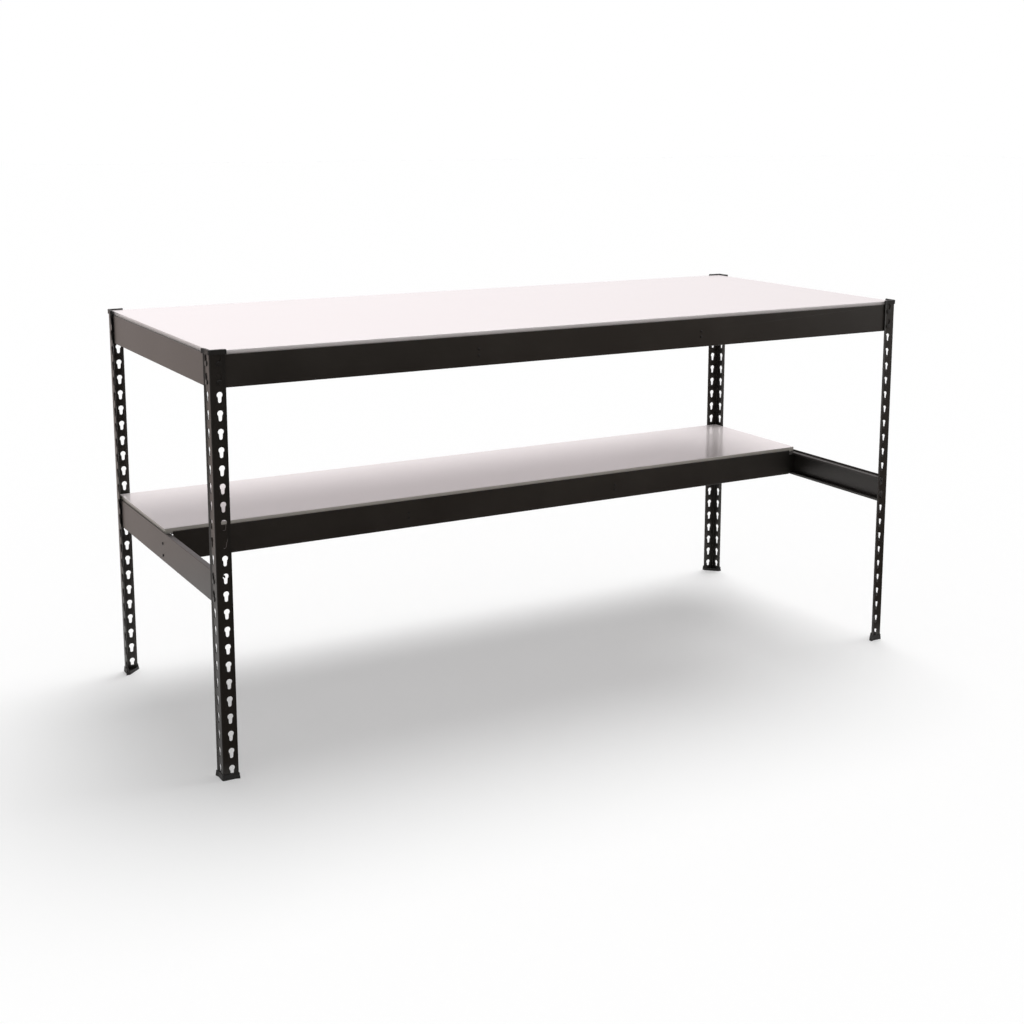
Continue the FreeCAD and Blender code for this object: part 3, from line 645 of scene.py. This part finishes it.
@dataclass
class Fasteners:
    """Turned fasteners: a crowned head outside, a shank through the sheets and a tail inside.

    The head, shank and tail are radii. The five shares are parts of the head's or the tail's own
    height or radius, and two_ended is a fastener's length in a node that is entered from two sides.
    """

    finishes: Finishes
    head: float
    head_height: float
    shank: float
    tail: float
    tail_height: float
    dimple: float
    slot: str
    two_ended: float = 7.4 * MM
    corner_share: float = 0.45
    crown_share: float = 0.16
    dimple_share: float = 0.45
    tail_edge_share: float = 0.25
    tail_end_share: float = 0.8

    def profile(self, length: float) -> np.ndarray:
        """Reach and radius of half a fastener, from the head's middle to the tail's.

        The crown is a shallow parabola with a shallow round dimple, and meets the head's side in a
        quarter circle.

        Args:
            length: The whole length along the axis.

        Returns:
            Rows of (reach, radius).
        """
        corner = self.head_height * self.corner_share
        crown = self.head_height * self.crown_share
        spread = np.linspace(0, 1, 9)
        radius = spread * (self.head - corner)
        hollow = np.clip(1 - (radius / (self.head * self.dimple_share)) ** 2, 0, None)
        top = np.stack([crown * spread ** 2 + self.dimple * hollow ** 2, radius], -1)
        bend = np.linspace(0, math.pi / 2, 6)[1:]
        shoulder = np.stack([crown + corner * (1 - np.cos(bend)),
                             self.head - corner + corner * np.sin(bend)], -1)
        seat = self.head_height
        tail_start = length - self.tail_height
        tail_edge = length - self.tail_height * self.tail_edge_share
        rest = np.array([
            [seat, self.head], [seat, self.shank], [tail_start, self.shank],
            [tail_start, self.tail], [tail_edge, self.tail],
            [length, self.tail * self.tail_end_share], [length, 0.0],
        ])
        return np.vstack([top, shoulder, rest])

    def make(self, node: str, sides: Sequence[Side]) -> None:
        """Make the fasteners of one CAD node from its box.

        The rows of fasteners stand a head's radius inside the box's ends.

        Args:
            node: The CAD node, with a pair of fasteners one above the other at each place.
            sides: The sides of the table that they enter from.
        """
        low, high = corners_of(node)
        heights = (low[2] + self.head, high[2] - self.head)
        surfaces = []
        for side in sides:
            across = 1 - side.depth
            ends = sorted({round(low[across] + self.head, 6), round(high[across] - self.head, 6)})
            length = self.reach(low, high, side, len(sides))
            centres = np.zeros((len(ends) * 2, 3))
            centres[:, across] = np.repeat(ends, 2)
            centres[:, 2] = np.tile(heights, len(ends))
            centres[:, side.depth] = low[side.depth] if side.inwards.sum() > 0 else high[side.depth]
            surfaces.append(lathe(self.profile(length), centres, side.inwards))
        turned = joined(surfaces)
        piece = turned.piece(f"{node}_turned", [self.finishes.fastener], smooth_below=40)
        stand_in(piece, node)

    def reach(self, low: np.ndarray, high: np.ndarray, side: Side, ends: int) -> float:
        """Length of one fastener.

        Args:
            low: The lowest corner of its node's box.
            high: The highest corner of that box.
            side: The side of the table that it enters from.
            ends: The number of sides that the node is entered from.

        Returns:
            The box's whole depth, or the two-ended length at most.
        """
        whole = high[side.depth] - low[side.depth]
        return whole if ends == 1 else min(whole, self.two_ended)


def joined(surfaces: Sequence[Surface]) -> Surface:
    """Several surfaces as one, with the faces' numbers moved on by the points before them."""
    starts = np.cumsum([0] + [len(s.points) for s in surfaces[:-1]])
    faces = [tuple(number + int(start) for number in face)
             for surface, start in zip(surfaces, starts) for face in surface.faces]
    finishes = [number for s in surfaces for number in s.finishes]
    return Surface(np.vstack([s.points for s in surfaces]), faces, finishes)


@dataclass
class Beams:
    """The rolled beams of both levels with their hook rivets."""

    finishes: Finishes
    hooked: tuple[tuple[str, Side], ...] = (
        ("top_front", Side.FRONT), ("top_right", Side.RIGHT), ("top_back", Side.BACK),
        ("top_left", Side.LEFT), ("lower_left", Side.LEFT), ("lower_right", Side.RIGHT),
        ("lower_back", Side.BACK),
    )

    def build(self) -> None:
        """Dress each beam and turn its rivets."""
        rivets = Fasteners(
            self.finishes, head=5.8 * MM, head_height=2.0 * MM, shank=3.3 * MM,
            tail=5.0 * MM, tail_height=1.2 * MM, dimple=0.25 * MM, slot="rivet_steel",
        )
        for name, side in self.hooked:
            dress(f"{name}_beam", self.finishes.steel[side.along])
            rivets.make(f"{name}_rivets", [side])
        dress("shelf_front_beam", self.finishes.steel[Along.X])


@dataclass
class ShelfFittings:
    """The shelf's brackets, the tie bars under both boards, and the screws of both."""

    finishes: Finishes

    def build(self) -> None:
        """Dress the sheet pieces and turn the screws."""
        screws = Fasteners(
            self.finishes, head=3.3 * MM, head_height=1.9 * MM, shank=2.0 * MM,
            tail=2.0 * MM, tail_height=0.4 * MM, dimple=0.9 * MM, slot="screw_steel",
        )
        for name, side in (("left", Side.LEFT), ("right", Side.RIGHT)):
            dress(f"shelf_{name}_bracket", self.finishes.steel[Along.Z])
            dress(f"shelf_{name}_bracket_nuts", self.finishes.fastener)
            screws.make(f"shelf_{name}_bracket_screws", [side])
            for level in ("top", "shelf"):
                dress(f"{level}_{name}_tie_bar", self.finishes.steel[Along.Y])
                screws.make(f"{level}_{name}_tie_screws", [Side.FRONT, Side.BACK])


@dataclass(frozen=True)
class Board:
    """One laminated board: how far its edges are eased and how deep its white faces reach down."""

    node: str
    easing: float
    face: float
    band: EdgeBand

    def section(self, thickness: float) -> np.ndarray:
        """Inset and height round a board's edge: a quarter circle, the band, and a quarter circle.

        Args:
            thickness: The board's thickness.

        Returns:
            Rows of (inset, height above the underside), from the underside to the top.
        """
        bend = np.linspace(0, math.pi / 2, 5)
        lower = np.stack([self.easing * (1 - np.sin(bend)), self.easing * (1 - np.cos(bend))], -1)
        upper = np.stack([lower[::-1, 0], thickness - lower[::-1, 1]], -1)
        band = np.array([[0.0, self.face], [0.0, thickness - self.face]])
        return np.vstack([lower, band, upper])


@dataclass
class Boards:
    """Both laminated boards: white faces, a pressed edge band and slightly rounded corners."""

    finishes: Finishes
    corner: float = 2.5 * MM
    corner_points: int = 7
    boards: tuple[Board, ...] = (
        Board("top_deck", 1.8 * MM, 2.6 * MM,
              EdgeBand((0.780, 0.725, 0.715), (0.660, 0.610, 0.595))),
        Board("shelf_deck", 0.7 * MM, 0.9 * MM, EdgeBand()),
    )

    def build(self) -> None:
        """Make both boards in the places of their CAD nodes."""
        for board in self.boards:
            low, high = corners_of(board.node)
            outline, outward = rounded_rectangle(low[:2], high[:2], self.corner,
                                                 self.corner_points)
            section = board.section(high[2] - low[2])
            bands = [0] * (len(section) - 1)
            middle = len(section) // 2 - 1
            bands[middle] = 1
            surface = stacked(outline, outward, section + [0.0, low[2]], [*bands, 0, 0])
            edge = board.band.material(f"{board.node}_edge_band")
            materials = [self.finishes.laminate, edge]
            piece = surface.piece(f"{board.node}_board", materials, smooth_below=50)
            stand_in(piece, board.node)


# ---------------------------------------------------------------------------------------------
# Studio


@dataclass(frozen=True)
class Card:
    """A rectangle that only gloss sees: it shapes what the dark coat and the laminate mirror.

    Its two opposite corners share a depth or a height. It dims by its fade for each metre to the
    right, and brightens where the fade is below 0.
    """

    name: str
    low: Colour
    high: Colour
    colour: Colour
    fade: float = 0.0

    def corners(self) -> np.ndarray:
        """Its four corners, one row each, in order round it."""
        low, high = np.array(self.low), np.array(self.high)
        up = np.array([0.0, 1.0, 1.0]) * (high - low)
        along = np.array([1.0, 0.0, 0.0]) * (high - low)
        return np.stack([low, low + along, high, low + up])


def sheet(corners: np.ndarray) -> Surface:
    """A flat surface of one face, from its four corners in order."""
    return Surface(corners, [(0, 1, 2, 3)], [0])


@dataclass
class Studio:
    """A plain pale floor, soft light from above, cards round the table and a white surround."""

    floor_half: float = 40.0
    floor_colour: Colour = (0.70, 0.70, 0.70)
    floor_lift: float = 0.305
    ambient: float = 0.36
    key: float = 2.17
    key_angle: float = 42.0
    key_from: Colour = (0.35, 0.28, 1.0)
    cards: tuple[Card, ...] = (
        Card("dark_card", (-6.0, -1.4, 0.01), (-0.9, -1.4, 1.35), (0.070, 0.064, 0.058)),
        Card("brown_card", (-0.9, -1.4, 0.01), (1.5, -1.4, 1.35), (0.085, 0.068, 0.056),
             -1.35),
        Card("low_brown_card", (1.5, -1.4, 0.01), (4.0, -1.4, 0.62), (0.180, 0.145, 0.120)),
        Card("dark_floor_card", (-2.2, -1.4, 0.008), (4.0, -0.42, 0.008),
             (0.118, 0.090, 0.070), -0.1),
        Card("dark_left_card", (-6.0, 1.1, 0.01), (-2.1, 1.1, 1.35), (0.052, 0.048, 0.043)),
        Card("warm_card", (-2.1, 1.1, 0.01), (-1.05, 1.1, 1.4), (1.06, 0.900, 0.835)),
        Card("bright_back_card", (-3.0, 3.0, 0.0), (7.0, 3.0, 3.2), (1.26, 1.17, 1.20), 0.045),
    )

    def seen(self, tree: Tree) -> Shade:
        """1 for what is seen, straight or in gloss or glass, and 0 for light on surfaces."""
        path = tree.node("ShaderNodeLightPath")
        return (path.other("Is Camera Ray") + path.other("Is Glossy Ray")
                + path.other("Is Transmission Ray")).clamped()

    def build(self) -> None:
        """Make the floor, the cards, the key light and the surround."""
        self.make_floor()
        for card in self.cards:
            self.make_card(card)
        self.make_key()
        self.make_surround()

    def make_floor(self) -> None:
        """A wide floor, lifted to white where nothing shades it."""
        far = self.floor_half
        square = np.array([[-far, -far, 0], [far, -far, 0], [far, far, 0], [-far, far, 0]])
        made = bpy.data.materials.new("studio_floor")
        tree = Tree(made)
        lit = tree.node("ShaderNodeBsdfDiffuse", {}, {"Color": (*self.floor_colour, 1.0)})
        strength = self.seen(tree) * self.floor_lift
        lift = tree.node("ShaderNodeEmission", {}, {"Color": WHITE, "Strength": strength})
        tree.finish(tree.node("ShaderNodeAddShader", {}, {0: lit, 1: lift}))
        floor = sheet(square).piece("studio_floor", [made], smooth_below=30)

    def make_card(self, card: Card) -> None:
        """Put a card in the studio that only gloss sees."""
        made = bpy.data.materials.new(card.name)
        tree = Tree(made)
        right = tree.node("ShaderNodeSeparateXYZ", {}, {"Vector": tree.place()}).other("X")
        strength = 1.0 - (right - card.low[0]) * card.fade
        colour = (*card.colour, 1.0)
        tree.finish(tree.node("ShaderNodeEmission", {}, {"Color": colour, "Strength": strength}))
        shown = sheet(card.corners()).piece(card.name, [made], smooth_below=30)
        shown.visible_camera = False
        shown.visible_diffuse = False
        shown.visible_shadow = False
        shown.visible_transmission = False

    def make_key(self) -> None:
        """One wide soft light from above."""
        light = bpy.data.lights.new("key_light", "SUN")
        light.energy = self.key
        light.angle = math.radians(self.key_angle)
        key = bpy.data.objects.new("key_light", light)
        key.rotation_euler = Vector(self.key_from).to_track_quat("Z", "Y").to_euler()
        bpy.context.scene.collection.objects.link(key)

    def make_surround(self) -> None:
        """White to the eye and in gloss, and a soft ambient light on surfaces."""
        world = bpy.data.worlds.new("studio_surround")
        bpy.context.scene.world = world
        tree = Tree(world)
        strength = self.seen(tree) * (1.0 - self.ambient) + self.ambient
        background = tree.node("ShaderNodeBackground", {}, {"Color": WHITE, "Strength": strength})
        tree.node("ShaderNodeOutputWorld", {}, {"Surface": background})
        bpy.context.scene.view_settings.view_transform = "Standard"


@dataclass
class ViewPoint:
    """The camera: where it stands, which way it looks, and how far its frame is off its axis."""

    place: Colour = (-1.886, -3.397, 1.3865)
    azimuth: float = -30.62
    elevation: float = 10.07
    roll: float = 0.29
    focal_pixels: float = 1558.0
    axis_pixel: tuple[float, float] = (557.5, 391.5)
    image: float = 1024.0
    sensor: float = 36.0
    farthest: float = 200.0

    def turn(self) -> Matrix:
        """The camera's rotation, from its azimuth, elevation and roll.

        The look direction is the azimuth's and elevation's; right and up stand square to it and are
        turned about it by the roll.

        Returns:
            A matrix with the camera's right, up and backward directions as columns.
        """
        a, e, r = (math.radians(v) for v in (self.azimuth, self.elevation, self.roll))
        look = Vector((-math.sin(a) * math.cos(e), math.cos(a) * math.cos(e), -math.sin(e)))
        level = look.cross(Vector((0, 0, 1))).normalized()
        upright = level.cross(look)
        right = math.cos(r) * level + math.sin(r) * upright
        up = math.cos(r) * upright - math.sin(r) * level
        return Matrix((right, up, -look)).transposed()

    def build(self) -> None:
        """Make the camera and look through it."""
        data = bpy.data.cameras.new("camera")
        data.sensor_width = self.sensor
        data.lens = self.focal_pixels / self.image * self.sensor
        data.shift_x = (self.image / 2 - self.axis_pixel[0]) / self.image
        data.shift_y = (self.axis_pixel[1] - self.image / 2) / self.image
        data.clip_end = self.farthest
        camera = bpy.data.objects.new("camera", data)
        camera.matrix_world = Matrix.Translation(self.place) @ self.turn().to_4x4()
        bpy.context.scene.collection.objects.link(camera)
        bpy.context.scene.camera = camera


def main() -> None:
    """Build the table's looks and the studio, in order."""
    logging.basicConfig(level=logging.INFO, format="%(name)s: %(message)s")
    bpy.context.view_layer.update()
    finishes = Finishes()
    table = [made(finishes) for made in (Posts, Beams, ShelfFittings, Boards)]
    for part in (*table, Studio(), ViewPoint()):
        part.build()
        LOG.info("%s done", type(part).__name__)


if __name__ == "__main__":
    main()
